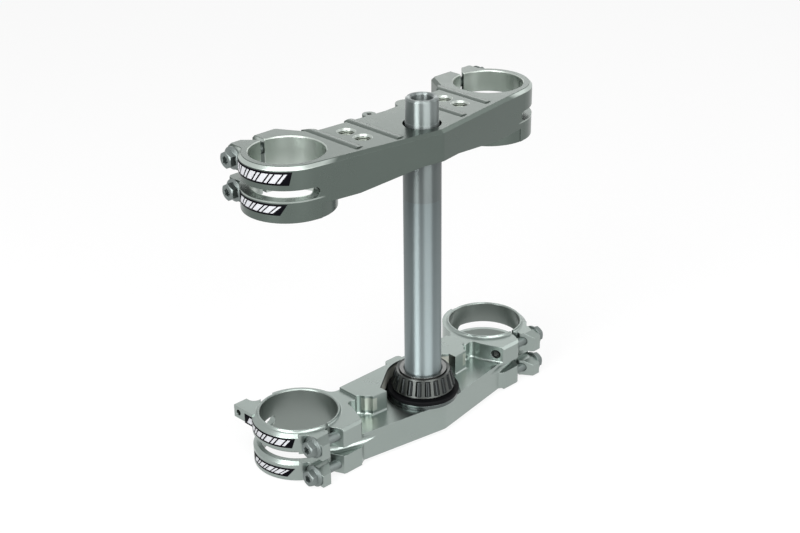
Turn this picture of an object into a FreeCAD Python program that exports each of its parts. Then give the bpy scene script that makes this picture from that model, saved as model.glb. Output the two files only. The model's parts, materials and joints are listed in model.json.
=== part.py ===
import FreeCAD, Part

import math
import os

Vector = FreeCAD.Vector
Z_AXIS = Vector(0, 0, 1)

# Frame: millimetres, +Z up along the steering axis, +X to the rider's right fork leg, +Y forward.
# The origin is where the steering axis meets the plane that the lower clamp stands on.

# Fork legs and stem
fork_half_spacing = 108.0
fork_offset = 31.0
upper_tube_radius = 28.5
lower_tube_radius = 30.75
stem_radius = 15.0
stub_radius = 12.8
stub_seat_radius = 13.1
stub_seat_rise = 2.0
stem_bore_radius = 8.25
shoulder_z = 235.6
stub_length = 45.9
stem_chamfer = 1.2
foot_flange_radius = 18.0
foot_flange_thickness = 4.0
press_clearance = 0.02
stub_clearance = 0.05

# Upper clamp: outline in plan
upper_ring_radius = 36.0
upper_beam_thickness = 24.9
upper_near_y = -23.0
upper_near_blend = 10.0
upper_front_y = 42.4
upper_front_flare = 5.5
upper_lug_foot_inset = 38.6
upper_lug_top_inset = 23.9
upper_lug_reach = 42.6
upper_lug_foot_blend = 15.0
upper_lug_corner_blend = 6.0
upper_ear_reach = 23.0
upper_ear_corner = 2.5
upper_ear_blend = 3.0
upper_edge_chamfer = 2.5

# Upper clamp: heights, slots and holes
barrel_height = 43.0
barrel_rise = 11.1
flat_half_width = 20.0
slope_end_inset = 33.0
upper_ring_height = 17.9
upper_relief_gap = 8.0
upper_relief_reach = 5.0
upper_slot_inset = 0.5
upper_slot_width = 4.0
ear_cut_reach = 30.7
upper_bolt_reach = 34.0
upper_bolt_drop = 9.0
upper_bolt_lift = 8.5
bar_hole_x = 52.3
bar_hole_near_y = 10.0
bar_hole_pitch = 18.0
bar_hole_radius = 6.0
bar_hole_chamfer = 1.4
stub_recess_radius = 15.0
stub_recess_depth = 6.0
bore_chamfer = 0.8

# Upper clamp: ribs and small bosses on its face
rib_width = 8.5
rib_height = 0.8
inner_rib_x = 34.2
inner_rib_near_y = -11.0
outer_rib_x = 69.2
outer_rib_near_y = -4.0
pin_boss_x = -13.8
pin_boss_y = 43.7
pin_boss_radius = 5.5
pin_boss_depth = 12.0
pin_hole_radius = 1.9
guide_boss_x = 24.0
guide_boss_y = 41.0
guide_boss_radius = 9.0

# Lower clamp: outline in plan
lower_ring_radius = 37.0
lower_near_y = -25.6
lower_near_blend = 14.0
lower_near_slope = 0.165
lower_front_y = 33.0
lower_front_blend = 8.0
lower_lug_inset = 24.3
lower_lug_set_back = 46.0
lower_lug_ramp = 4.7
lower_ear_reach = 18.8
lower_ear_set_back = 48.4
lower_ear_blend = 3.0
stop_half_width = 8.5
stop_front_y = 37.7
stop_corner_blend = 3.5

# Lower clamp: heights and slots
lower_height = 40.5
lip_height = 2.0
lip_wall = 1.9
lip_blend = 2.0
plateau_inset = 45.5
lower_ring_height = 16.2
lower_relief_gap = 7.8
relief_end_inset = 1.0
relief_turn_inset = 8.0
relief_turn_set_back = 36.3
relief_turn_slope = 0.803
relief_tip_inset = 48.0
relief_tip_slope = 0.28
ledge_z = 25.5
underside_relief = 1.5
ring_edge_chamfer = 2.6
ring_edge_start = -48.0
ring_edge_end = 96.0
lower_slot_width = 3.0
slot_mouth_set_back = 35.0
slot_mouth_inset = 7.8
slot_mouth_bend = 6.0
slot_mouth_bend_rise = 0.6
slot_mouth_reach = 10.8
slot_corner_reach = 5.8
slot_corner_set_back = 40.8
slot_notch_radius = 2.3
slot_notch_reach = 1.9
slot_notch_set_back = 36.5
lower_bolt_set_back = 39.2
lower_bolt_drop = 7.5
lower_bolt_lift = 7.2
lug_bevel = 2.2
ear_bevel_depth = 7.2
ear_bevel_height = 3.7
low_ear_drop = 2.3

# Lower clamp: pocket behind the near wall
lug_wall_foot_inset = 25.4
lug_wall_top_inset = 33.8
lug_wall_top_set_back = 25.8
recess_set_back = 16.4
recess_blend = 4.4
recess_lip_blend = 1.1
recess_inset = 43.4
recess_lean = 1.2
pocket_floor_blend = 2.0
scallop_depth = 1.3
scallop_end_x = 54.0
scallop_end_y = 2.8
pocket_side_x = 40.0
pocket_side_y = 1.4
pocket_side_length = 7.6
headset_pocket_radius = 30.4

# Hose lug on the left leg
hose_lug_reach_out = 29.4
hose_lug_width = 12.9
hose_lug_reach_forward = 44.5
hose_lug_height = 10.5
hose_lug_blend = 6.0
hose_hole_forward = 39.0
hose_hole_radius = 2.5
hose_lug_root = 3.3

# Steering bearing and its seal
seal_boss_radius = 28.5
seal_boss_height = 3.0
spigot_radius = 19.5
spigot_height = 3.0
seal_height = 4.0
seal_lip_radius = 29.5
seal_body_radius = 28.3
seal_body_height = 1.2
seal_lip_bottom = 1.8
seal_lip_top = 3.4
seal_inner_clearance = 0.1
bearing_height = 17.0
roller_count = 20
roller_length = 12.4
roller_lift = 2.5
roller_pitch_radius = 23.7
roller_tilt = 14.25
roller_big_radius = 2.92
roller_small_radius = 2.54
roller_chamfer = 0.35
race_clearance = 0.03
big_rib_height = 1.6
small_rib_height = 1.1
cone_bore_chamfer = 1.0
cage_inner_offset = 0.9
cage_thickness = 0.8
cage_foot = 1.4
cage_head = 0.6
cage_cone_gap = 0.45
window_clearance = 0.08
window_end_clearance = 0.15

# Pinch bolts
bolt_radius = 4.0
bolt_hole_clearance = 0.3
thread_clearance = 0.02
upper_bolt_length = 40.0
lower_bolt_length = 40.0
bolt_chamfer = 0.8
flange_radius = 8.8
flange_thickness = 1.4
flange_cone = 1.2
hex_across_flats = 12.0
hex_height = 6.4
hex_chamfer = 0.9
hex_sides = 6
socket_points = 6
socket_radius = 3.6
socket_valley = 2.6
socket_depth = 3.4
seat_margin = 0.6

# Places at the right leg, all set from the leg's own axis
upper_lug_foot_x = fork_half_spacing - upper_lug_foot_inset
upper_lug_top_x = fork_half_spacing - upper_lug_top_inset
upper_lug_front_y = fork_offset + upper_lug_reach
upper_ear_x = fork_half_spacing + upper_ear_reach
upper_slot_x = fork_half_spacing - upper_slot_inset
upper_relief_end_x = fork_half_spacing + upper_relief_reach
upper_bolt_y = fork_offset + upper_bolt_reach
ear_cut_y = fork_offset + ear_cut_reach
slope_end_x = fork_half_spacing - slope_end_inset
plateau_half_width = fork_half_spacing - plateau_inset
relief_end_x = fork_half_spacing - relief_end_inset
relief_turn_x = fork_half_spacing - relief_turn_inset
relief_turn_y = fork_offset - relief_turn_set_back
relief_tip_x = fork_half_spacing - relief_tip_inset
lower_lug_x = fork_half_spacing - lower_lug_inset
lower_lug_y = fork_offset - lower_lug_set_back
lower_ear_x = fork_half_spacing + lower_ear_reach
lower_ear_y = fork_offset - lower_ear_set_back
lower_bolt_y = fork_offset - lower_bolt_set_back
lower_slot_x = fork_half_spacing
slot_mouth_y = fork_offset - slot_mouth_set_back
slot_corner_x = fork_half_spacing + slot_corner_reach
slot_corner_y = fork_offset - slot_corner_set_back
slot_notch_x = fork_half_spacing + slot_notch_reach
slot_notch_y = fork_offset - slot_notch_set_back
slot_mouth_inner_x = fork_half_spacing - slot_mouth_inset
slot_mouth_bend_x = fork_half_spacing - slot_mouth_bend
slot_mouth_outer_x = fork_half_spacing + slot_mouth_reach
lug_wall_foot_x = fork_half_spacing - lug_wall_foot_inset
lug_wall_top_x = fork_half_spacing - lug_wall_top_inset
lug_wall_top_y = fork_offset - lug_wall_top_set_back
recess_y = fork_offset - recess_set_back
recess_inner_x = fork_half_spacing - recess_inset
hose_lug_x = fork_half_spacing + hose_lug_reach_out
hose_lug_y = fork_offset + hose_lug_reach_forward
hose_hole_y = fork_offset + hose_hole_forward

# Levels that follow from the sizes above
upper_top_z = shoulder_z + upper_beam_thickness
upper_bottom_z = upper_top_z - barrel_height
upper_relief_z = upper_top_z - upper_ring_height - upper_relief_gap / 2
upper_high_bolt_z = upper_top_z - upper_bolt_drop
upper_low_bolt_z = upper_bottom_z + upper_bolt_lift
lower_top_z = lower_height + lip_height
lower_relief_top_z = lower_ring_height + lower_relief_gap
lower_high_bolt_z = lower_height - lower_bolt_drop
lower_low_bolt_z = lower_bolt_lift
seal_z = ledge_z + seal_boss_height
bearing_z = seal_z + seal_height
roller_z = bearing_z + roller_lift
# Tools that cut right through reach this far past what they cut.
overshoot = 5.0


def point(x, y, z=0.0):
    return Vector(x, y, z)


def mirrored(shape):
    """The shape's mirror image across the plane through the steering axis between the legs."""
    return shape.mirror(Vector(0, 0, 0), Vector(1, 0, 0))


def both_sides(shape):
    return shape.fuse(mirrored(shape))


def cylinder(x, y, z0, z1, radius):
    return Part.makeCylinder(radius, z1 - z0, Vector(x, y, z0))


def x_cylinder(x0, x1, y, z, radius):
    return Part.makeCylinder(radius, x1 - x0, Vector(x0, y, z), Vector(1, 0, 0))


def box(x0, x1, y0, y1, z0, z1):
    return Part.makeBox(x1 - x0, y1 - y0, z1 - z0, Vector(x0, y0, z0))


def arc_edge(start, middle, end):
    return Part.Arc(start, middle, end).toShape()


def corner_blend(before, corner, after, radius):
    """Start, middle and end of the arc that rounds a corner between two straight edges."""
    inward = (before - corner).normalize()
    outward = (after - corner).normalize()
    half_angle = inward.getAngle(outward) / 2
    reach = radius / math.tan(half_angle)
    start = corner + inward * reach
    end = corner + outward * reach
    bisector = (inward + outward).normalize()
    middle = corner + bisector * (radius / math.sin(half_angle) - radius)
    return start, middle, end


def outline_edges(corners):
    """Straight edges through the corners, each given as x, y and the radius that rounds it."""
    places = [point(x, y) for x, y, _ in corners]
    edges = []
    cursor = places[0]
    for index in range(1, len(corners) - 1):
        radius = corners[index][2]
        if radius > 0:
            start, middle, end = corner_blend(places[index - 1], places[index], places[index + 1], radius)
            edges.append(Part.makeLine(cursor, start))
            edges.append(arc_edge(start, middle, end))
            cursor = end
        else:
            edges.append(Part.makeLine(cursor, places[index]))
            cursor = places[index]
    edges.append(Part.makeLine(cursor, places[-1]))
    return edges


def prism(edges, z0, z1):
    """A block with the closed outline that the edges form, between two heights."""
    wire = Part.Wire(Part.sortEdges(edges)[0])
    face = Part.Face(wire)
    face.translate(Vector(0, 0, z0))
    return face.extrude(Vector(0, 0, z1 - z0))


def symmetric_prism(half_edges, z0, z1):
    """A block whose outline is the given half and its mirror image."""
    edges = list(half_edges)
    edges += [mirrored(edge) for edge in half_edges]
    return prism(edges, z0, z1)


def polygon_prism(corners, z0, z1):
    closed = list(corners) + [corners[0]]
    return prism(outline_edges([(x, y, 0) for x, y in closed]), z0, z1)


def ring_blend(wall_x, side, radius, ring_radius, x_sign=1):
    """Arc between a wall along Y at wall_x and the ring of a fork leg.

    side is +1 for a wall in front of the ring's centre and -1 for one behind it. x_sign is +1 where
    the hollow of the blend lies outboard of the wall. Returns the point on the wall, the arc's middle
    and the point on the ring.
    """
    centre_x = wall_x + x_sign * radius
    across = centre_x - fork_half_spacing
    along = math.sqrt((ring_radius + radius) ** 2 - across ** 2)
    centre = point(centre_x, fork_offset + side * along)
    ring_centre = point(fork_half_spacing, fork_offset)
    to_ring = (ring_centre - centre).normalize()
    to_wall = Vector(-x_sign, 0, 0)
    on_wall = centre + to_wall * radius
    on_ring = centre + to_ring * radius
    middle = centre + (to_wall + to_ring).normalize() * radius
    return on_wall, middle, on_ring


def ring_point(radius, degrees):
    angle = math.radians(degrees)
    return point(fork_half_spacing + radius * math.cos(angle), fork_offset + radius * math.sin(angle))


def near_nose(y, slope, radius):
    """Arc that rounds the nose of a near wall, from the wall to the plane of symmetry."""
    stretch = math.sqrt(1 + slope ** 2)
    centre_y = y + radius * stretch
    angle = math.atan(slope)
    start = point(radius * math.sin(angle), centre_y - radius * math.cos(angle))
    middle = point(radius * math.sin(angle / 2), centre_y - radius * math.cos(angle / 2))
    return start, middle, point(0, centre_y - radius)


def upper_outline():
    """Right half of the upper clamp in plan, from its front edge round the leg to its near wall."""
    foot_y = upper_front_y + upper_front_flare
    ear_point, ear_middle, ear_end = ring_blend(upper_ear_x, 1, upper_ear_blend, upper_ring_radius)
    corners = [
        (0, upper_front_y, 0),
        (upper_lug_foot_x, foot_y, upper_lug_foot_blend),
        (upper_lug_top_x, upper_lug_front_y, upper_lug_corner_blend),
        (upper_ear_x - upper_ear_corner, upper_lug_front_y, 0),
        (upper_ear_x, upper_lug_front_y - upper_ear_corner, 0),
        (ear_point.x, ear_point.y, 0),
    ]
    # The near wall is the tangent from its nose to the ring.
    run = math.hypot(fork_half_spacing, fork_offset - upper_near_y)
    direction = math.atan2(fork_offset - upper_near_y, fork_half_spacing)
    direction -= math.asin(upper_ring_radius / run)
    nose_start, nose_middle, nose_end = near_nose(upper_near_y, math.tan(direction), upper_near_blend)
    tangent_degrees = math.degrees(direction) - 90
    tangent = ring_point(upper_ring_radius, tangent_degrees)
    ear_degrees = math.degrees(math.atan2(ear_end.y - fork_offset, ear_end.x - fork_half_spacing))
    side = ring_point(upper_ring_radius, (ear_degrees + tangent_degrees) / 2)
    return outline_edges(corners) + [
        arc_edge(ear_point, ear_middle, ear_end),
        arc_edge(ear_end, side, tangent),
        Part.makeLine(tangent, nose_start),
        arc_edge(nose_start, nose_middle, nose_end),
    ]


def edges_at_height(shape, z):
    found = []
    for edge in shape.Edges:
        bounds = edge.BoundBox
        if abs(bounds.ZMin - z) < 1e-4 and abs(bounds.ZMax - z) < 1e-4:
            found.append(edge)
    return found


def upper_underside_cut():
    """What is taken away below the beam, which is thinner in the middle than at the legs."""
    low_z = upper_bottom_z - overshoot
    slope_z = upper_bottom_z + barrel_rise
    reach_x = fork_half_spacing
    profile = [
        (0, low_z),
        (0, shoulder_z),
        (flat_half_width, shoulder_z),
        (slope_end_x, slope_z),
        (reach_x, slope_z),
        (reach_x, low_z),
    ]
    corners = [Vector(x, upper_near_y - overshoot, z) for x, z in profile]
    face = Part.Face(Part.makePolygon(corners + [corners[0]]))
    depth = upper_lug_front_y - upper_near_y + 2 * overshoot
    cut = face.extrude(Vector(0, depth, 0))
    cut = cut.cut(cylinder(fork_half_spacing, fork_offset, low_z, upper_top_z, upper_ring_radius))
    lug_y = upper_front_y + upper_front_flare
    lug = box(slope_end_x, reach_x + overshoot, lug_y, upper_lug_front_y + 2 * overshoot, low_z, upper_top_z)
    return both_sides(cut.cut(lug))


def rib(centre_x, near_y):
    """A low rounded rib along Y on the upper clamp's face."""
    half = rib_width / 2
    sunk = upper_edge_chamfer
    start = Vector(centre_x - half, near_y, upper_top_z)
    end = Vector(centre_x + half, near_y, upper_top_z)
    crest = Vector(centre_x, near_y, upper_top_z + rib_height)
    low_start = start - Z_AXIS * sunk
    low_end = end - Z_AXIS * sunk
    wire = Part.Wire([
        arc_edge(start, crest, end),
        Part.makeLine(end, low_end),
        Part.makeLine(low_end, low_start),
        Part.makeLine(low_start, start),
    ])
    return Part.Face(wire).extrude(Vector(0, upper_lug_front_y - near_y, 0))


def bore_bands(radius, z0, z1, parting_z):
    """The bore's tool in a lower and an upper part, as the relief slot lies between two bands."""
    tool = chamfered_bore(radius, z0, z1)
    below = cylinder(fork_half_spacing, fork_offset, z0 - 2 * overshoot, parting_z, 2 * radius)
    return [tool.common(below), tool.cut(below)]


def bolt_cuts(bolt_x, bolt_y, bolt_z, slot_x, depth_x):
    """Seat, clearance hole and threaded hole for one pinch bolt of the right leg."""
    seat = x_cylinder(bolt_x, bolt_x + 2 * overshoot, bolt_y, bolt_z, flange_radius + seat_margin)
    clear = x_cylinder(slot_x, bolt_x + overshoot, bolt_y, bolt_z, bolt_radius + bolt_hole_clearance)
    thread = x_cylinder(depth_x, slot_x, bolt_y, bolt_z, bolt_radius + thread_clearance)
    return seat.fuse([clear, thread])


def chamfered_bore(radius, z0, z1):
    """Tool for the bore of a fork leg, with both of its rims broken."""
    tool = cylinder(fork_half_spacing, fork_offset, z0 - overshoot, z1 + overshoot, radius)
    for z, direction in ((z0, 1), (z1, -1)):
        rim = Part.makeCone(
            radius + bore_chamfer + overshoot,
            radius,
            bore_chamfer + overshoot,
            Vector(fork_half_spacing, fork_offset, z - direction * overshoot),
            Vector(0, 0, direction),
        )
        tool = tool.fuse(rim)
    return tool


def relief_slot_upper():
    """The slot that parts the outer half of the barrel into two rings."""
    radius = upper_relief_gap / 2
    outer_x = fork_half_spacing + upper_ring_radius + overshoot
    near_y = upper_near_y - overshoot
    far_y = upper_lug_front_y + overshoot
    slot = box(upper_relief_end_x, outer_x, near_y, far_y, upper_relief_z - radius, upper_relief_z + radius)
    end = Part.makeCylinder(
        radius,
        far_y - near_y,
        Vector(upper_relief_end_x, near_y, upper_relief_z),
        Vector(0, 1, 0),
    )
    return slot.fuse(end)


def upper_leg_cuts():
    """Everything that is bored, slotted or drilled at the right leg of the upper clamp."""
    half_slot = upper_slot_width / 2
    low_z = upper_bottom_z - overshoot
    high_z = upper_top_z + overshoot
    front_y = upper_lug_front_y + overshoot
    slot = box(upper_slot_x - half_slot, upper_slot_x + half_slot, fork_offset, front_y, low_z, high_z)
    rise = front_y - ear_cut_y
    inner_x = upper_slot_x
    corner = polygon_prism(
        [
            (inner_x, ear_cut_y - half_slot),
            (inner_x + half_slot + rise, front_y),
            (inner_x, front_y),
        ],
        low_z,
        high_z,
    )
    bore = chamfered_bore(upper_tube_radius, upper_bottom_z, upper_top_z)
    cuts = [bore, slot, corner, relief_slot_upper()]
    depth_x = upper_ear_x - upper_bolt_length - bolt_radius
    for z in (upper_high_bolt_z, upper_low_bolt_z):
        cuts.append(bolt_cuts(upper_ear_x, upper_bolt_y, z, upper_slot_x, depth_x))
    for y in (bar_hole_near_y, bar_hole_near_y + bar_hole_pitch):
        hole = cylinder(bar_hole_x, y, low_z, high_z, bar_hole_radius)
        rim = Part.makeCone(
            bar_hole_radius,
            bar_hole_radius + bar_hole_chamfer + overshoot,
            bar_hole_chamfer + overshoot,
            Vector(bar_hole_x, y, upper_top_z - bar_hole_chamfer),
        )
        cuts.append(hole.fuse(rim))
    return cuts


def upper_clamp():
    """Billet upper clamp: beam, two split barrels, four pinch ears, bar mount holes and ribs."""
    edges = upper_outline()
    body = symmetric_prism(edges, upper_bottom_z, upper_top_z)
    plan = symmetric_prism(edges, upper_bottom_z, upper_top_z + 2 * rib_height)
    body = body.makeChamfer(upper_edge_chamfer, edges_at_height(body, upper_top_z))
    body = body.cut(upper_underside_cut())
    ribs = [rib(inner_rib_x, inner_rib_near_y), rib(outer_rib_x, outer_rib_near_y)]
    ribs += [mirrored(one) for one in ribs]
    body = body.fuse([one.common(plan) for one in ribs])
    boss_z = upper_top_z - pin_boss_depth
    bosses = [
        cylinder(pin_boss_x, pin_boss_y, boss_z, upper_top_z, pin_boss_radius),
        cylinder(guide_boss_x, guide_boss_y, boss_z, upper_top_z, guide_boss_radius),
    ]
    body = body.fuse(bosses)
    cuts = upper_leg_cuts()
    cuts += [mirrored(cut) for cut in cuts]
    high_z = upper_top_z + overshoot
    cuts.append(cylinder(pin_boss_x, pin_boss_y, boss_z + overshoot, high_z, pin_hole_radius))
    cuts.append(cylinder(0, 0, upper_top_z - stub_recess_depth, high_z, stub_recess_radius))
    cuts.append(cylinder(0, 0, upper_bottom_z, high_z, stub_seat_radius + stub_clearance))
    return body.cut(cuts).removeSplitter()


def lower_outline():
    """Right half of the lower clamp in plan, from its steering stop round the leg to the near wall."""
    ear_point, ear_middle, ear_end = ring_blend(lower_ear_x, -1, lower_ear_blend, lower_ring_radius)
    # The front edge runs along X and flows into the ring.
    centre_y = lower_front_y + lower_front_blend
    across = math.sqrt((lower_ring_radius + lower_front_blend) ** 2 - (centre_y - fork_offset) ** 2)
    blend_centre = point(fork_half_spacing - across, centre_y)
    to_ring = (point(fork_half_spacing, fork_offset) - blend_centre).normalize()
    blend_start = blend_centre + Vector(0, -lower_front_blend, 0)
    blend_end = blend_centre + to_ring * lower_front_blend
    blend_middle = blend_centre + (to_ring + Vector(0, -1, 0)).normalize() * lower_front_blend
    front = [
        (0, stop_front_y, 0),
        (stop_half_width, stop_front_y, stop_corner_blend),
        (stop_half_width, lower_front_y, 0),
        (blend_start.x, blend_start.y, 0),
    ]
    front_degrees = math.degrees(math.atan2(blend_end.y - fork_offset, blend_end.x - fork_half_spacing))
    ear_degrees = math.degrees(math.atan2(ear_end.y - fork_offset, ear_end.x - fork_half_spacing))
    outer = ring_point(lower_ring_radius, (front_degrees + ear_degrees) / 2)
    ramp_x = lower_lug_x - lower_lug_ramp
    ramp_y = lower_near_y + lower_near_slope * ramp_x
    nose_start, nose_middle, nose_end = near_nose(lower_near_y, lower_near_slope, lower_near_blend)
    near = [
        (ear_point.x, ear_point.y, 0),
        (lower_ear_x, lower_ear_y, 0),
        (slot_mouth_bend_x, lower_ear_y, 0),
        (slot_mouth_bend_x, lower_lug_y, 0),
        (lower_lug_x, lower_lug_y, 0),
        (ramp_x, ramp_y, 0),
        (nose_start.x, nose_start.y, 0),
    ]
    return (
        outline_edges(front)
        + [arc_edge(blend_start, blend_middle, blend_end), arc_edge(blend_end, outer, ear_end)]
        + [arc_edge(ear_end, ear_middle, ear_point)]
        + outline_edges(near)
        + [arc_edge(nose_start, nose_middle, nose_end)]
    )


def scallop(start, end):
    """One hollow of the scalloped wall, bulging away from the pocket."""
    along = end - start
    outward = Vector(along.y, -along.x, 0).normalize()
    if outward.y < 0:
        outward = outward * -1
    return arc_edge(start, (start + end) * 0.5 + outward * scallop_depth, end)


def pocket_outline():
    """Right half of the pocket between the near wall, the lug and the headset, in plan."""
    near_y = lower_near_y - overshoot
    rise = (lug_wall_top_y - lower_lug_y) / (lug_wall_foot_x - lug_wall_top_x)
    foot_x = lug_wall_foot_x + (lower_lug_y - near_y) / rise
    recess_outer_x = lug_wall_top_x - recess_lean
    scallop_start = point(recess_inner_x - recess_blend / 2, recess_y - scallop_depth)
    scallop_end = point(scallop_end_x, scallop_end_y)
    scallop_middle = (scallop_start + scallop_end) * 0.5
    wall = [
        (0, near_y, 0),
        (foot_x, near_y, 0),
        (lug_wall_top_x, lug_wall_top_y, 0),
        (recess_outer_x, recess_y, recess_blend),
        (recess_inner_x, recess_y - scallop_depth * 2, recess_lip_blend),
        (scallop_start.x, scallop_start.y, 0),
    ]
    side_top_y = pocket_side_y + pocket_side_length
    # The slanted wall ends where it touches the round pocket of the headset.
    reach = math.hypot(pocket_side_x, side_top_y)
    bearing = math.atan2(side_top_y, pocket_side_x) + math.acos(headset_pocket_radius / reach)
    touch = point(headset_pocket_radius * math.cos(bearing), headset_pocket_radius * math.sin(bearing))
    inner = [
        (scallop_end_x, scallop_end_y, 0),
        (pocket_side_x, pocket_side_y, 0),
        (pocket_side_x, side_top_y, 0),
        (touch.x, touch.y, 0),
    ]
    half_bearing = (bearing + math.pi / 2) / 2
    toward = point(math.cos(half_bearing), math.sin(half_bearing))
    middle = toward * headset_pocket_radius
    edges = outline_edges(wall)
    edges += [scallop(scallop_start, scallop_middle), scallop(scallop_middle, scallop_end)]
    edges += outline_edges(inner)
    edges.append(arc_edge(touch, middle, point(0, headset_pocket_radius)))
    return edges


def collar_lip(radius):
    """Ring of metal that the lip and its fillet take up above the ring of the right leg."""
    top_radius = radius + lip_wall
    foot_radius = top_radius + lip_blend
    high_z = lower_top_z + overshoot
    centre = Vector(foot_radius, 0, lower_height + lip_blend)
    diagonal = Vector(-1, 0, -1).normalize() * lip_blend
    wire = Part.Wire([
        Part.makeLine(Vector(0, 0, lower_height), Vector(foot_radius, 0, lower_height)),
        arc_edge(
            Vector(foot_radius, 0, lower_height),
            centre + diagonal,
            Vector(top_radius, 0, lower_height + lip_blend),
        ),
        Part.makeLine(Vector(top_radius, 0, lower_height + lip_blend), Vector(top_radius, 0, high_z)),
        Part.makeLine(Vector(top_radius, 0, high_z), Vector(0, 0, high_z)),
        Part.makeLine(Vector(0, 0, high_z), Vector(0, 0, lower_height)),
    ])
    lip = Part.Face(wire).revolve(Vector(0, 0, 0), Z_AXIS, 360)
    lip.translate(Vector(fork_half_spacing, fork_offset, 0))
    return lip


def relief_slot_lower():
    """The round-nosed slot that parts the outer half of the lower barrel into two rings.

    In plan it ends at a line along Y through the barrel. Near the slit that line turns across the lug
    and runs out to a point on the near wall.
    """
    nose = lower_relief_gap / 2
    z = lower_ring_height + nose
    front_y = fork_offset + lower_ring_radius + overshoot
    outer_x = fork_half_spacing + lower_ring_radius + overshoot
    near_y = lower_ear_y - 2 * overshoot
    # The axes of the round nose lie inside the slot's ends, by the nose's radius.
    end_x = relief_end_x + nose
    tip_inset = nose * math.hypot(1, relief_tip_slope)
    turn_inset = nose * math.hypot(1, relief_turn_slope)

    def tip_line(x):
        return relief_turn_y + (x - relief_turn_x) * relief_tip_slope - tip_inset

    def turn_line(x):
        return relief_turn_y + (x - relief_turn_x) * relief_turn_slope - turn_inset

    turn_x = relief_turn_x + (turn_inset - tip_inset) / (relief_turn_slope - relief_tip_slope)
    slot = polygon_prism(
        [
            (relief_tip_x, tip_line(relief_tip_x)),
            (turn_x, tip_line(turn_x)),
            (end_x, turn_line(end_x)),
            (end_x, front_y),
            (outer_x, front_y),
            (outer_x, near_y),
            (relief_tip_x, near_y),
        ],
        lower_ring_height,
        lower_relief_top_z,
    )
    noses = []
    for start, end in (
        (Vector(relief_tip_x, tip_line(relief_tip_x), z), Vector(end_x, tip_line(end_x), z)),
        (Vector(turn_x - nose, turn_line(turn_x - nose), z), Vector(end_x, turn_line(end_x), z)),
        (Vector(end_x, turn_line(end_x - nose / 2), z), Vector(end_x, front_y, z)),
    ):
        noses.append(Part.makeCylinder(nose, (end - start).Length, start, end - start))
    return slot.fuse(noses)


def ring_edge_cut(z, direction, start_degrees, end_degrees):
    """Chamfer cut along the outside of a lower ring, on the edge at height z.

    direction is +1 where the metal lies above the edge and -1 where it lies below. The angles are
    measured about the leg, from +X towards +Y.
    """
    radius = lower_ring_radius
    size = ring_edge_chamfer
    beyond = Vector(radius + overshoot, 0, z + direction * (size + overshoot))
    apex = Vector(radius + overshoot, 0, z - direction * overshoot)
    low = Vector(radius - size - overshoot, 0, z - direction * overshoot)
    profile = Part.Face(Part.makePolygon([low, beyond, apex, low]))
    profile.rotate(Vector(0, 0, 0), Z_AXIS, start_degrees)
    cut = profile.revolve(Vector(0, 0, 0), Z_AXIS, end_degrees - start_degrees)
    cut.translate(Vector(fork_half_spacing, fork_offset, 0))
    return cut


def near_bevel(x0, x1, y, z, depth, height):
    """Bevel cut along X on a near edge at y and z, depth mm back from the edge and height mm down."""
    back = Vector(x0, y + depth, z)
    low = Vector(x0, y - depth, z - 2 * height)
    apex = Vector(x0, y - depth, z + height)
    top = Vector(x0, y + depth, z + height)
    face = Part.Face(Part.makePolygon([back, low, apex, top, back]))
    return face.extrude(Vector(x1 - x0, 0, 0))


def lower_leg_cuts():
    """Everything but the bore that is slotted, bevelled or drilled at the right leg of the lower clamp."""
    half_slot = lower_slot_width / 2
    low_z = -overshoot
    high_z = lower_top_z + overshoot
    slot_inner_x = lower_slot_x - half_slot
    slot_outer_x = lower_slot_x + half_slot
    mouth_y = lower_ear_y - overshoot
    slot = box(slot_inner_x, slot_outer_x, mouth_y, fork_offset, low_z, high_z)
    mouth_edges = outline_edges(
        [
            (slot_inner_x, slot_mouth_y, 0),
            (slot_outer_x, slot_mouth_y, 0),
            (slot_notch_x, slot_notch_y, 0),
            (slot_corner_x, slot_corner_y, 0),
            (slot_mouth_outer_x, lower_ear_y, 0),
            (slot_mouth_outer_x, mouth_y, 0),
            (slot_mouth_inner_x, mouth_y, 0),
            (slot_mouth_inner_x, lower_lug_y, 0),
            (slot_mouth_bend_x, lower_lug_y + slot_mouth_bend_rise, 0),
            (slot_inner_x, slot_mouth_y, 0),
        ]
    )
    mouth = prism(mouth_edges, low_z, high_z)
    notch = cylinder(slot_notch_x, slot_notch_y, low_z, high_z, slot_notch_radius)
    ramp_x = lower_lug_x - lower_lug_ramp
    beyond_x = lower_ear_x + overshoot
    low_ear_z = lower_ring_height - low_ear_drop
    drop = box(slot_inner_x, beyond_x, mouth_y, slot_mouth_y, low_ear_z, lower_relief_top_z)
    cuts = [relief_slot_lower(), slot, mouth, notch, drop]
    cuts.append(near_bevel(ramp_x, slot_inner_x, lower_lug_y, lower_height, lug_bevel, lug_bevel))
    for z in (lower_height, low_ear_z):
        bevel = near_bevel(slot_outer_x, beyond_x, lower_ear_y, z, ear_bevel_depth, ear_bevel_height)
        cuts.append(bevel)
    # The upper bolt's hole opens into the pocket, and the lower one ends inside the lug.
    for z, depth_x in (
        (lower_high_bolt_z, lug_wall_top_x - 2 * overshoot),
        (lower_low_bolt_z, lower_ear_x - lower_bolt_length - bolt_radius),
    ):
        cuts.append(bolt_cuts(lower_ear_x, lower_bolt_y, z, lower_slot_x, depth_x))
    return cuts


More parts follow.
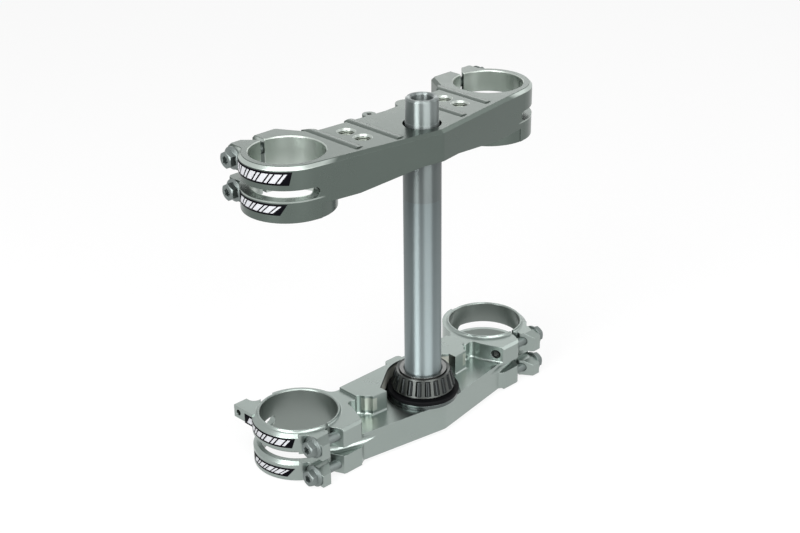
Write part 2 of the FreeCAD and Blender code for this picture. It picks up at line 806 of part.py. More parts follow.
def hose_lug():
    """Lug for the brake hose guide, on the outside of the left leg's upper ring."""
    inner_x = hose_lug_x - hose_lug_width
    wall, middle, on_ring = ring_blend(inner_x, 1, hose_lug_blend, lower_ring_radius, -1)
    outer_y = fork_offset + math.sqrt(lower_ring_radius ** 2 - (hose_lug_x - fork_half_spacing) ** 2)
    # The lug is rooted in the ring, so that the two overlap before they are joined.
    centre = point(fork_half_spacing, fork_offset)
    outward = (point(hose_lug_x, outer_y) - centre).normalize()
    inside = centre + outward * (lower_ring_radius - hose_lug_root)
    corners = [
        (wall.x, wall.y, 0),
        (inner_x, hose_lug_y, 0),
        (hose_lug_x, hose_lug_y, 0),
        (hose_lug_x, outer_y, 0),
        (inside.x, inside.y, 0),
        (on_ring.x, on_ring.y, 0),
    ]
    edges = outline_edges(corners) + [arc_edge(on_ring, middle, wall)]
    lug = prism(edges, lower_height - hose_lug_height, lower_height)
    hole_z = lower_height - hose_lug_height / 2
    hole = x_cylinder(inner_x - overshoot, hose_lug_x + overshoot, hose_hole_y, hole_z, hose_hole_radius)
    return mirrored(lug.cut(hole))


def lower_clamp():
    """Billet lower clamp: beam with a pocket, two split barrels, ears, steering stop and hose lug."""
    body = symmetric_prism(lower_outline(), 0, lower_top_z)
    reach_x = fork_half_spacing + lower_ring_radius + overshoot
    near_y = lower_near_y - overshoot
    far_y = fork_offset + lower_ring_radius + overshoot
    step = box(plateau_half_width, reach_x, near_y, far_y, lower_height, lower_top_z + overshoot)
    step = step.cut(collar_lip(lower_tube_radius))
    pocket = symmetric_prism(pocket_outline(), ledge_z, lower_top_z + overshoot)
    floor = [edge for edge in edges_at_height(pocket, ledge_z) if abs(edge.CenterOfMass.x) > pocket_side_x]
    pocket = pocket.makeFillet(pocket_floor_blend, floor)
    relief = box(-fork_half_spacing, fork_half_spacing, near_y, far_y, -overshoot, underside_relief)
    for x in (-fork_half_spacing, fork_half_spacing):
        relief = relief.cut(cylinder(x, fork_offset, -2 * overshoot, overshoot, lower_ring_radius))
    lug_foot = box(lower_lug_x, fork_half_spacing, near_y, fork_offset, -2 * overshoot, overshoot)
    relief = relief.cut(both_sides(lug_foot))
    # The chamfers beside the relief slot stop short of its round end.
    slot_end_across = relief_end_x + lower_relief_gap / 2 - fork_half_spacing
    slot_end = math.degrees(math.acos(slot_end_across / lower_ring_radius))
    edge_cuts = [
        ring_edge_cut(lower_height, -1, ring_edge_start, ring_edge_end),
        ring_edge_cut(lower_relief_top_z, 1, ring_edge_start, slot_end),
        ring_edge_cut(lower_ring_height, -1, ring_edge_start, slot_end),
    ]
    body = body.cut([step, mirrored(step), pocket, relief])
    body = body.cut(edge_cuts + [mirrored(cut) for cut in edge_cuts])
    body = body.fuse(hose_lug())
    cuts = lower_leg_cuts()
    body = body.cut(cuts + [mirrored(cut) for cut in cuts])
    boss = cylinder(0, 0, ledge_z, seal_z, seal_boss_radius)
    spigot = cylinder(0, 0, ledge_z, seal_z + spigot_height, spigot_radius)
    body = body.fuse([boss, spigot])
    stem_hole = cylinder(0, 0, -overshoot, lower_top_z, stem_radius + press_clearance)
    foot_z = underside_relief + foot_flange_thickness
    foot_hole = cylinder(0, 0, -overshoot, foot_z, foot_flange_radius + press_clearance)
    body = body.cut([stem_hole, foot_hole]).removeSplitter()
    parting_z = (lower_ring_height + lower_relief_top_z) / 2
    for band in bore_bands(lower_tube_radius, 0, lower_top_z, parting_z):
        body = body.cut([band, mirrored(band)])
    return body


def steering_stem():
    """Turned tube with a foot flange, a shoulder for the upper clamp and a slimmer stub on top."""
    top_z = shoulder_z + stub_length
    foot_top_z = underside_relief + foot_flange_thickness
    profile = [
        (stem_bore_radius, 0),
        (foot_flange_radius - stem_chamfer, 0),
        (foot_flange_radius, stem_chamfer),
        (foot_flange_radius, foot_top_z),
        (stem_radius, foot_top_z),
        (stem_radius, shoulder_z - stem_chamfer),
        (stem_radius - stem_chamfer, shoulder_z),
        (stub_seat_radius, shoulder_z),
        (stub_seat_radius, upper_top_z + stub_seat_rise),
        (stub_radius, upper_top_z + stub_seat_rise),
        (stub_radius, top_z - stem_chamfer),
        (stub_radius - stem_chamfer, top_z),
        (stem_bore_radius + stem_chamfer, top_z),
        (stem_bore_radius, top_z - stem_chamfer),
    ]
    return revolved(profile)


def revolved(profile):
    """A turned piece from its half section, given as radius and height."""
    corners = [Vector(r, 0, z) for r, z in profile]
    face = Part.Face(Part.makePolygon(corners + [corners[0]]))
    return face.revolve(Vector(0, 0, 0), Z_AXIS, 360)


def beside_roller(along, across):
    """Radius and height of a place given along a roller's axis and outward from it."""
    tilt = math.radians(roller_tilt)
    r = roller_pitch_radius - along * math.sin(tilt) + across * math.cos(tilt)
    z = roller_z + along * math.cos(tilt) + across * math.sin(tilt)
    return r, z


def bearing_cone():
    """Inner ring of the tapered bearing, with its raceway between a high and a low rib."""
    bore = stem_radius + press_clearance
    gap = race_clearance
    rib_r, rib_z = beside_roller(-gap, big_rib_height - roller_big_radius)
    small_r, small_z = beside_roller(roller_length + gap, small_rib_height - roller_small_radius)
    top_z = bearing_z + bearing_height
    profile = [
        (bore + cone_bore_chamfer, bearing_z),
        (rib_r, bearing_z),
        (rib_r, rib_z),
        beside_roller(-gap, -roller_big_radius - gap),
        beside_roller(roller_length + gap, -roller_small_radius - gap),
        (small_r, small_z),
        (small_r, top_z),
        (bore + cone_bore_chamfer, top_z),
        (bore, top_z - cone_bore_chamfer),
        (bore, bearing_z + cone_bore_chamfer),
    ]
    return revolved(profile)


def placed_roller(shape, index):
    """A roller drawn upright on the axis, tilted and moved to its place in the bearing."""
    moved = shape.copy()
    moved.rotate(Vector(0, 0, 0), Vector(0, 1, 0), -roller_tilt)
    moved.translate(Vector(roller_pitch_radius, 0, roller_z))
    moved.rotate(Vector(0, 0, 0), Z_AXIS, index * 360.0 / roller_count)
    return moved


def roller(grow=0.0, end_grow=0.0):
    """A tapered roller, or with grow the room that it needs in the cage."""
    big = roller_big_radius + grow
    small = roller_small_radius + grow
    low = -end_grow
    high = roller_length + end_grow
    edge = roller_chamfer
    return revolved([
        (0, low),
        (big - edge, low),
        (big, low + edge),
        (small, high - edge),
        (small - edge, high),
        (0, high),
    ])


def bearing_cage():
    """Pressed steel cage: a tapered shell with a window for each roller and an inward rim."""
    inner = cage_inner_offset
    outer = cage_inner_offset + cage_thickness
    foot = -cage_foot
    head = roller_length + cage_head + cage_thickness
    small_r, _ = beside_roller(roller_length + race_clearance, small_rib_height - roller_small_radius)
    rim_r = small_r + cage_cone_gap
    tilt = math.radians(roller_tilt)
    rim_across = (rim_r - roller_pitch_radius + head * math.sin(tilt)) / math.cos(tilt)
    profile = [
        beside_roller(foot, inner),
        beside_roller(foot, outer),
        beside_roller(head, outer),
        beside_roller(head, rim_across),
        beside_roller(head - cage_thickness, rim_across),
        beside_roller(head - cage_thickness, inner),
    ]
    shell = revolved(profile)
    window = roller(window_clearance, window_end_clearance)
    return shell.cut([placed_roller(window, index) for index in range(roller_count)])


def dust_seal():
    """Rubber seal under the bearing: a body round the spigot, a thin web over it and a lip."""
    spigot_top = spigot_height
    bore = stem_radius + seal_inner_clearance
    inside = spigot_radius + seal_inner_clearance
    profile = [
        (inside, seal_z),
        (seal_body_radius, seal_z),
        (seal_body_radius, seal_z + seal_body_height),
        (seal_lip_radius, seal_z + seal_lip_bottom),
        (seal_lip_radius, seal_z + seal_lip_top),
        (seal_lip_radius - (seal_height - spigot_top) / 2, seal_z + seal_height),
        (bore, seal_z + seal_height),
        (bore, seal_z + spigot_top),
        (inside, seal_z + spigot_top),
    ]
    return revolved(profile)


def pinch_bolt(length):
    """Hex flange bolt on the Z axis: its seat at z = 0, head above, shank below."""
    shank = revolved([
        (0, -length),
        (bolt_radius - bolt_chamfer, -length),
        (bolt_radius, -length + bolt_chamfer),
        (bolt_radius, 0),
        (flange_radius, 0),
        (flange_radius, flange_thickness),
        (hex_across_flats / 2, flange_thickness + flange_cone),
        (0, flange_thickness + flange_cone),
    ])
    corner_radius = hex_across_flats / math.sqrt(3)
    corners = []
    for index in range(hex_sides):
        angle = 2 * math.pi * index / hex_sides
        corners.append(Vector(corner_radius * math.cos(angle), corner_radius * math.sin(angle), 0))
    top_z = flange_thickness + hex_height
    hexagon = Part.Face(Part.makePolygon(corners + [corners[0]])).extrude(Vector(0, 0, top_z))
    dome = revolved([
        (0, 0),
        (corner_radius + overshoot, 0),
        (corner_radius + overshoot, top_z - hex_chamfer - overshoot / 2),
        (corner_radius, top_z - hex_chamfer),
        (hex_across_flats / 2 - hex_chamfer / 2, top_z),
        (0, top_z),
    ])
    lobes = []
    for index in range(2 * socket_points):
        angle = math.pi * (index + 0.5) / socket_points
        radius = socket_radius if index % 2 == 0 else socket_valley
        lobes.append(Vector(radius * math.cos(angle), radius * math.sin(angle), top_z - socket_depth))
    socket = Part.Face(Part.makePolygon(lobes + [lobes[0]])).extrude(Vector(0, 0, socket_depth + overshoot))
    return shank.fuse(hexagon.common(dome)).cut(socket).removeSplitter()


def placed_bolt(shape, side, x, y, z):
    """The bolt with its seat at x on the right leg, or its mirror place on the left one."""
    moved = shape.copy()
    moved.rotate(Vector(0, 0, 0), Vector(0, 1, 0), 90 * side)
    moved.translate(Vector(side * x, y, z))
    return moved


def build():
    """All pieces by name."""
    pieces = {
        "top_clamp": upper_clamp(),
        "bottom_clamp": lower_clamp(),
        "steering_stem": steering_stem(),
        "dust_seal": dust_seal(),
        "bearing_cone": bearing_cone(),
        "bearing_cage": bearing_cage(),
    }
    one_roller = roller()
    for index in range(roller_count):
        pieces["roller_%02d" % (index + 1)] = placed_roller(one_roller, index)
    upper_bolt = pinch_bolt(upper_bolt_length)
    lower_bolt = pinch_bolt(lower_bolt_length)
    for name, side in (("left", -1), ("right", 1)):
        for level, z in (("upper", upper_high_bolt_z), ("lower", upper_low_bolt_z)):
            bolt = placed_bolt(upper_bolt, side, upper_ear_x, upper_bolt_y, z)
            pieces["top_%s_%s_bolt" % (name, level)] = bolt
        for level, z in (("upper", lower_high_bolt_z), ("lower", lower_low_bolt_z)):
            bolt = placed_bolt(lower_bolt, side, lower_ear_x, lower_bolt_y, z)
            pieces["bottom_%s_%s_bolt" % (name, level)] = bolt
    return pieces


os.makedirs("parts", exist_ok=True)
for name, piece in build().items():
    piece.exportStep("parts/%s.step" % name)
    print(name, piece.isValid(), len(piece.Solids), round(piece.Volume, 1))
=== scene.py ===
import json
import logging
import math
from collections.abc import Mapping
from dataclasses import dataclass
from enum import Enum
from typing import Any

import bmesh
import bpy
from mathutils import Matrix, Vector


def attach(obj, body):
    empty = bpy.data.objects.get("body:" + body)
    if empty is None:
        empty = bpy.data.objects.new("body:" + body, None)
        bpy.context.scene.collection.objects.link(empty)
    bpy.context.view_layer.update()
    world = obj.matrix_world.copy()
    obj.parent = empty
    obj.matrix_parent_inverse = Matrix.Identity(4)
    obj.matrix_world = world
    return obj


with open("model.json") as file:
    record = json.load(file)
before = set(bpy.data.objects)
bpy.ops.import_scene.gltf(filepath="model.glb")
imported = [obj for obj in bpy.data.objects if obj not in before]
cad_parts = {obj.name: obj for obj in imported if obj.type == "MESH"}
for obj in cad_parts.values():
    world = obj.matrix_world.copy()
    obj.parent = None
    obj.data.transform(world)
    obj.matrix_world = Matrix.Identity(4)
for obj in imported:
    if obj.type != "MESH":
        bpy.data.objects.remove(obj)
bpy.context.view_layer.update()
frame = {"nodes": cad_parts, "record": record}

LOG = logging.getLogger("triple_clamp")
MM = 0.001
Colour = tuple[float, float, float]
Place = tuple[float, float, float]


def mount(name: str) -> Mapping[str, Any]:
    """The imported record's row on one mount of the part."""
    return next(row for row in frame["record"]["mounts"] if row["name"] == name)


# Places that the finishes, labels and threads share, in metres
FORK_X, FORK_Y = mount("upper_right_fork_clamp")["pos_m"][:2]
_, BAR_HOLE_Y, BAR_HOLE_Z = mount("bar_mount_holes")["pos_m"]
BAR_HOLE_SIZES = mount("bar_mount_holes")["dims"]
BAR_HOLE_X = BAR_HOLE_SIZES["spacing_x_mm"] / 2 * MM
BAR_HOLE_STEP = BAR_HOLE_SIZES["spacing_y_mm"] / 2 * MM
BAR_HOLE_ROWS = {"near": BAR_HOLE_Y - BAR_HOLE_STEP, "far": BAR_HOLE_Y + BAR_HOLE_STEP}
PINCH_BOLT_Y = -0.0082


class Signal:
    """A shader socket that takes part in Python expressions as a number."""

    def __init__(self, graph: "Graph", socket: bpy.types.NodeSocket) -> None:
        """Wraps one output socket of a graph."""
        self.graph = graph
        self.socket = socket

    def maths(self, operation: str, *others: Any) -> "Signal":
        """Adds a Math node whose first value is this signal.

        Args:
            operation: The Math node's operation.
            others: The node's other values, signals or numbers.

        Returns:
            The node's result.
        """
        values = dict(enumerate((self, *others)))
        return self.graph.value("ShaderNodeMath", {"operation": operation}, values)

    def flipped(self, operation: str, other: Any) -> "Signal":
        """Adds a Math node whose second value is this signal."""
        return self.graph.value("ShaderNodeMath", {"operation": operation}, {0: other, 1: self})

    def share(self) -> "Signal":
        """This signal, kept between 0 and 1."""
        return self.maths("MAXIMUM", 0.0).maths("MINIMUM", 1.0)

    def __add__(self, other: Any) -> "Signal":
        """Sum."""
        return self.maths("ADD", other)

    def __sub__(self, other: Any) -> "Signal":
        """Difference."""
        return self.maths("SUBTRACT", other)

    def __rsub__(self, other: Any) -> "Signal":
        """Difference with the number first."""
        return self.flipped("SUBTRACT", other)

    def __mul__(self, other: Any) -> "Signal":
        """Product."""
        return self.maths("MULTIPLY", other)

    def __truediv__(self, other: Any) -> "Signal":
        """Quotient."""
        return self.maths("DIVIDE", other)

    def __lt__(self, other: Any) -> "Signal":
        """1 where this signal is the lower one."""
        return self.maths("LESS_THAN", other)

    def __gt__(self, other: Any) -> "Signal":
        """1 where this signal is the higher one."""
        return self.maths("GREATER_THAN", other)

    def __abs__(self) -> "Signal":
        """Absolute value."""
        return self.maths("ABSOLUTE")

    __radd__ = __add__
    __rmul__ = __mul__


class Graph:
    """The node tree of one material or of the world."""

    def __init__(self, tree: bpy.types.NodeTree) -> None:
        """Empties the tree and keeps it."""
        self.tree = tree
        tree.nodes.clear()

    def node(self, kind: str, settings: Mapping[str, Any], values: Mapping[Any, Any]) -> bpy.types.Node:
        """Adds a node.

        Args:
            kind: The node's type.
            settings: Attributes of the node, set before its sockets.
            values: Links or constants by the name or the number of the input socket.

        Returns:
            The new node.
        """
        node = self.tree.nodes.new(kind)
        for name, setting in settings.items():
            setattr(node, name, setting)
        for key, value in values.items():
            socket = node.inputs[key]
            if isinstance(value, Signal):
                self.tree.links.new(value.socket, socket)
            else:
                socket.default_value = value
        return node

    def value(
        self, kind: str, settings: Mapping[str, Any], values: Mapping[Any, Any], output: Any = 0
    ) -> Signal:
        """Adds a node and returns one of its outputs."""
        return Signal(self, self.node(kind, settings, values).outputs[output])

    def place(self) -> Signal:
        """The place on the piece, in metres of the row frame."""
        return self.value("ShaderNodeTexCoord", {}, {}, "Object")

    def axes(self, vector: Signal) -> tuple[Signal, Signal, Signal]:
        """The three numbers of a vector."""
        node = self.node("ShaderNodeSeparateXYZ", {}, {0: vector})
        return Signal(self, node.outputs[0]), Signal(self, node.outputs[1]), Signal(self, node.outputs[2])

    def stretched(self, vector: Signal, scale: tuple[float, float, float]) -> Signal:
        """The vector scaled along each axis."""
        return self.value("ShaderNodeMapping", {}, {"Vector": vector, "Scale": scale})

    def noise(self, vector: Signal, scale: float, detail: float = 2.0) -> Signal:
        """Soft noise from 0 to 1 with a mean of a half."""
        inputs = {"Vector": vector, "Scale": scale, "Detail": detail}
        return self.value("ShaderNodeTexNoise", {}, inputs, "Fac")

    def mixed(self, factor: Signal, first: Any, second: Any) -> Signal:
        """A colour that goes from the first to the second, signals or RGBA values, with the factor."""
        inputs = {"Factor": factor, 6: first, 7: second}
        return self.value("ShaderNodeMix", {"data_type": "RGBA"}, inputs, 2)

    def tint(self, factor: Signal, low: Colour, high: Colour) -> Signal:
        """A colour that goes from low to high with the factor."""
        return self.mixed(factor, (*low, 1.0), (*high, 1.0))

    def darker(self, colour: Signal, level: float) -> Signal:
        """The colour times a level."""
        inputs = {"Factor": 1.0, 6: colour, 7: (level, level, level, 1.0)}
        return self.value("ShaderNodeMix", {"data_type": "RGBA", "blend_type": "MULTIPLY"}, inputs, 2)

    def surface(self, inputs: Mapping[str, Any]) -> None:
        """Ends a material with a Principled shader that has these inputs."""
        self.finish(self.value("ShaderNodeBsdfPrincipled", {}, inputs), "ShaderNodeOutputMaterial")

    def finish(self, shader: Signal, target: str) -> None:
        """Links a shader to the output node of a material or of the world."""
        self.node(target, {}, {"Surface": shader})


def scaled(colour: Colour, factor: float) -> Colour:
    """The colour, made lighter or darker."""
    return (colour[0] * factor, colour[1] * factor, colour[2] * factor)


def towards(azimuth: float, elevation: float) -> Vector:
    """The unit vector out from the object, with azimuth 0 on the -Y side and 90 on the +X side."""
    turn, rise = math.radians(azimuth), math.radians(elevation)
    return Vector((math.sin(turn) * math.cos(rise), -math.cos(turn) * math.cos(rise), math.sin(rise)))


def new_material(name: str) -> tuple[bpy.types.Material, Graph]:
    """Makes a material that has an empty graph.

    Args:
        name: The material's name.

    Returns:
        The material and its graph.
    """
    material = bpy.data.materials.new(name)
    material.use_nodes = True
    return material, Graph(material.node_tree)


class ToolMark(Enum):
    """What left the fine marks on a metal face."""

    MILLED = "milled"
    TURNED = "turned"
    TUMBLED = "tumbled"


@dataclass(frozen=True)
class Patch:
    """A part of a piece with a look of its own, most often painted light or shade: what lies within a
    radius of an axis along Z.

    The colour darkens by the share fade, from the height fade_from_z over the length fade_over, as painted
    shade.
    """

    x: float
    y: float
    radius: float
    low_z: float
    high_z: float
    colour: Colour
    roughness: float
    fade: float = 0.0001

    def mask(self, graph: Graph, place: Signal) -> Signal:
        """Marks out the patch and its mirror image across the plane x = 0.

        Args:
            graph: The graph of the material.
            place: The place on the piece.

        Returns:
            1 inside the patch and 0 elsewhere.
        """
        x, y, z = graph.axes(place)
        across = abs(x) - self.x
        along = y - self.y
        inside = (self.radius - (across * across + along * along).maths("SQRT")) / self.fade
        return inside.share() * (z > self.low_z) * (z < self.high_z)


@dataclass(frozen=True)
class MetalFinish:
    """A metal finish with tool marks, handling haze and edges that catch the light.

    The colour darkens by the share fade, from the height fade_from_z over the length fade_over.
    """

    name: str
    colour: Colour
    roughness: float
    mark: ToolMark
    roughness_spread: float = 0.05
    tint_spread: float = 0.05
    mark_pitch: float = 0.0011
    mark_stretch: float = 0.03
    mark_depth: float = 0.000004
    mark_share: float = 0.4
    mark_detail: float = 3.0
    haze_scale: float = 24.0
    smear_scale: float = 90.0
    smear_detail: float = 4.0
    edge_radius: float = 0.0004
    edge_samples: int = 4
    anisotropic: float = 0.0
    anisotropic_turn: float = 0.0
    patches: tuple[Patch, ...] = ()
    fade_from_z: float = 0.0
    fade_over: float = 1.0
    fade: float = 0.0

    def marks(self, graph: Graph, place: Signal) -> Signal:
        """Draws the fine marks the way the tool went.

        Args:
            graph: The graph of the material.
            place: The place on the piece.

        Returns:
            A pattern from 0 to 1.
        """
        fine = 1.0 / self.mark_pitch
        if self.mark is ToolMark.MILLED:
            along_x = graph.stretched(place, (fine * self.mark_stretch, fine, fine))
            return graph.noise(along_x, 1.0, self.mark_detail)
        if self.mark is ToolMark.TUMBLED:
            return graph.noise(place, fine, self.mark_detail)
        x, y, z = graph.axes(place)
        radius = (x * x + y * y).maths("SQRT")
        rings = graph.value("ShaderNodeCombineXYZ", {}, {0: radius * fine, 2: z * fine})
        return graph.noise(rings, 1.0, self.mark_detail)

    def shade(self, graph: Graph, place: Signal, haze: Signal, marks: Signal) -> Signal:
        """Works out the colour of the plain surface, before its patches.

        Args:
            graph: The graph of the material.
            place: The place on the piece.
            haze: Wide soft variation from 0 to 1.
            marks: The tool marks from 0 to 1.

        Returns:
            The colour.
        """
        low = scaled(self.colour, 1.0 - self.tint_spread)
        high = scaled(self.colour, 1.0 + self.tint_spread)
        colour = graph.tint(haze * (1.0 - self.mark_share) + marks * self.mark_share, low, high)
        if not self.fade:
            return colour
        # Painted shade: the colour darker towards the top
        height = graph.axes(place)[2]
        share = ((height - self.fade_from_z) / self.fade_over).share()
        return graph.mixed(share, colour, graph.darker(colour, 1.0 - self.fade))

    def material(self) -> bpy.types.Material:
        """Builds the material.

        Returns:
            A procedural material for this finish.
        """
        material, graph = new_material(self.name)
        place = graph.place()
        marks = self.marks(graph, place)
        haze = graph.noise(place, self.haze_scale)
        colour = self.shade(graph, place, haze, marks)
        smears = graph.noise(place, self.smear_scale, self.smear_detail)
        spread = self.roughness_spread
        rough = (haze - 0.5) * spread + (smears - 0.5) * spread + self.roughness
        for patch in self.patches:
            mask = patch.mask(graph, place)
            colour = graph.mixed(mask, colour, (*patch.colour, 1.0))
            rough = rough + (patch.roughness - rough) * mask
        edges = graph.value("ShaderNodeBevel", {"samples": self.edge_samples}, {"Radius": self.edge_radius})
        bump_inputs = {"Height": marks, "Distance": self.mark_depth, "Normal": edges}
        graph.surface(
            {
                "Base Color": colour,
                "Metallic": 1.0,
                "Roughness": rough,
                "Normal": graph.value("ShaderNodeBump", {}, bump_inputs),
                "Anisotropic": self.anisotropic,
                "Anisotropic Rotation": self.anisotropic_turn,
            }
        )
        return material


@dataclass(frozen=True)
class RubberFinish:
    """Moulded black rubber with a little dust."""

    name: str
    colour: Colour = (0.002, 0.002, 0.0025)
    dust: Colour = (0.006, 0.0065, 0.007)
    roughness: float = 0.5
    roughness_spread: float = 0.15
    gloss: float = 0.05
    speck_scale: float = 900.0
    speck_detail: float = 3.0
    speck_depth: float = 0.00002
    haze_scale: float = 60.0

    def material(self) -> bpy.types.Material:
        """Builds the material.

        Returns:
            A procedural material for the rubber.
        """
        material, graph = new_material(self.name)
        place = graph.place()
        specks = graph.noise(place, self.speck_scale, self.speck_detail)
        haze = graph.noise(place, self.haze_scale)
        bump_inputs = {"Height": specks, "Distance": self.speck_depth}
        graph.surface(
            {
                "Base Color": graph.tint(specks * haze, self.colour, self.dust),
                "Roughness": (haze - 0.5) * self.roughness_spread + self.roughness,
                "Specular IOR Level": self.gloss,
                "Normal": graph.value("ShaderNodeBump", {}, bump_inputs),
            }
        )
        return material


@dataclass(frozen=True)
class LabelFinish:
    """Black film printed with pairs of slanted white bars, a wide and a narrow one.

    Each bar is given by the shares of its pair's length at which it starts and ends.
    """

    name: str
    length: float
    height: float
    pairs: float
    slant: float = 0.55
    margin: float = 0.0015
    wide_bar: tuple[float, float] = (0.06, 0.56)
    narrow_bar: tuple[float, float] = (0.7, 0.92)
    black: Colour = (0.002, 0.002, 0.003)
    white: Colour = (0.36, 0.365, 0.38)
    roughness: float = 0.35
    roughness_spread: float = 0.1
    gloss: float = 0.02
    wear_scale: float = 700.0
    wear_detail: float = 3.0

    def printed(self, graph: Graph) -> Signal:
        """Draws the bars along the label's own UV map.

        Args:
            graph: The graph of the material.

        Returns:
            1 on a bar and 0 elsewhere.
        """
        across, up, _ = graph.axes(graph.value("ShaderNodeTexCoord", {}, {}, "UV"))
        lean = self.slant * self.height / self.length
        side = self.margin / self.length
        edge = self.margin / self.height
        run = (across - up * lean - side) / (1.0 - lean - 2.0 * side)
        rhythm = (run * self.pairs).maths("FRACT")
        bars = (self.wide_bar, self.narrow_bar)
        wide, narrow = ((rhythm > start) * (rhythm < end) for start, end in bars)
        inside = (run > 0.0) * (run < 1.0) * (up > edge) * (up < 1.0 - edge)
        return wide.maths("MAXIMUM", narrow) * inside

    def material(self) -> bpy.types.Material:
        """Builds the material.

        Returns:
            A procedural material for the film.
        """
        material, graph = new_material(self.name)
        printed = self.printed(graph)
        wear = graph.noise(graph.place(), self.wear_scale, self.wear_detail)
        graph.surface(
            {
                "Base Color": graph.tint(printed, self.black, self.white),
                "Roughness": (wear - 0.5) * self.roughness_spread + self.roughness,
                "Specular IOR Level": self.gloss,
            }
        )
        return material


# Lighter rims of the bar mount holes in the upper clamp
BAR_HOLE_RIMS = tuple(
    Patch(
        x=BAR_HOLE_X,
        y=y,
        radius=0.0076,
        low_z=BAR_HOLE_Z - 0.0002,
        high_z=0.3,
        colour=(0.42, 0.46, 0.43),
        roughness=0.3,
    )
    for y in BAR_HOLE_ROWS.values()
)
# Painted highlight on the chamfer of the top edge of each upper ring
UPPER_RING_CHAMFER_HIGHLIGHT = Patch(
    x=FORK_X,
    y=FORK_Y,
    radius=0.0408,
    low_z=0.2577,
    high_z=0.26015,
    colour=(0.42, 0.47, 0.44),
    roughness=0.3,
    fade=0.0046,
)
# Painted highlight on the edge below the relief slot of each upper ring
UPPER_RELIEF_EDGE_HIGHLIGHT = Patch(
    x=FORK_X,
    y=FORK_Y,
    radius=0.0372,
    low_z=0.2331,
    high_z=0.23425,
    colour=(0.32, 0.36, 0.335),
    roughness=0.3,
    fade=0.001,
)
# Finely bored walls that grip the fork legs, in the upper clamp painted lighter as light falling and
# bouncing inside them
UPPER_BORES_PAINTED_LIGHT = Patch(
    x=FORK_X,
    y=FORK_Y,
    radius=0.0293,
    low_z=0.21,
    high_z=0.3,
    colour=(0.47, 0.515, 0.48),
    roughness=0.3,
)
# The lower clamp's bores, painted darker as shade inside them
LOWER_BORES_PAINTED_SHADE = Patch(
    x=FORK_X,
    y=FORK_Y,
    radius=0.0312,
    low_z=-0.01,
    high_z=0.06,
    colour=(0.245, 0.275, 0.258),
    roughness=0.3,
)
# Turned boss under the dust seal, painted dark as shade and as the seal's dark reflection on it
SEAL_BOSS_PAINTED_SHADE = Patch(
    x=0.0,
    y=0.0,
    radius=0.0312,
    low_z=0.0252,
    high_z=0.0287,
    colour=(0.1, 0.115, 0.112),
    roughness=0.2,
)
# Walls of the recess behind the bearing, painted lighter as light on them, first the round part and then
# the slanted ends
RECESS_WALLS_PAINTED_LIGHT = tuple(
    Patch(
        x=x,
        y=y,
        radius=radius,
        low_z=0.0292,
        high_z=0.0402,
        colour=(0.5, 0.51, 0.46),
        roughness=0.65,
    )
    for x, y, radius in ((0.0, 0.0, 0.0308), (0.0288, 0.0169, 0.0139))
)
# Painted highlight on the scallops where the beam's pockets meet the lugs
SCALLOP_HIGHLIGHTS = Patch(
    x=0.0585,
    y=0.0028,
    radius=0.0085,
    low_z=0.0292,
    high_z=0.0402,
    colour=(0.45, 0.48, 0.43),
    roughness=0.4,
)
# Shaded top of the stem, under and in the upper clamp, and the stub above its shoulder
STEM_IN_CLAMP = Patch(
    x=0.0,
    y=0.0,
    radius=0.0155,
    low_z=0.2,
    high_z=0.236,
    colour=(0.124, 0.142, 0.141),
    roughness=0.4,
)
STEM_STUB = Patch(
    x=0.0,
    y=0.0,
    radius=0.0135,
    low_z=0.25,
    high_z=0.3,
    colour=(0.21, 0.236, 0.233),
    roughness=0.4,
)
# Painted shade on the ends of the lower clamp's bolts, deep in their holes
BOLT_ENDS_PAINTED_SHADE = Patch(
    x=0.0868,
    y=PINCH_BOLT_Y,
    radius=0.004,
    low_z=-0.01,
    high_z=0.05,
    colour=(0.03, 0.033, 0.03),
    roughness=0.6,
)


